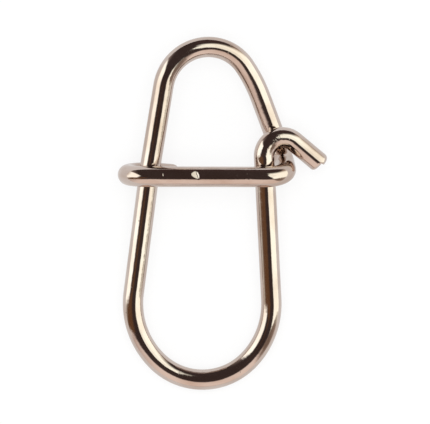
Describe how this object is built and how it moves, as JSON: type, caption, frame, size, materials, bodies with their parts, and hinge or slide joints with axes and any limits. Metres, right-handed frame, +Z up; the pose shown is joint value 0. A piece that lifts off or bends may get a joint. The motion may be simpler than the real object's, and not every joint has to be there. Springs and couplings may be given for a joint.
{
  "type": "lure snap",
  "caption": "Small quick-change snap bent from a single spring wire, with a large loop, a small loop, a cross band and a side hook.",
  "frame": {"origin": "on the surface that the snap lies on, under the middle of its outline", "axes": "+Z up out of the surface, towards the cross band; +Y along the snap from the large loop to the small loop; +X towards the side hook"},
  "size_m": [0.0122, 0.0206, 0.0037],
  "materials": {
    "polished_wire": "bright nickel-plated spring wire, drawn and polished, warm silver"
  },
  "bodies": {
    "root": {"snap_wire": "polished_wire"}
  },
  "joints": []
}
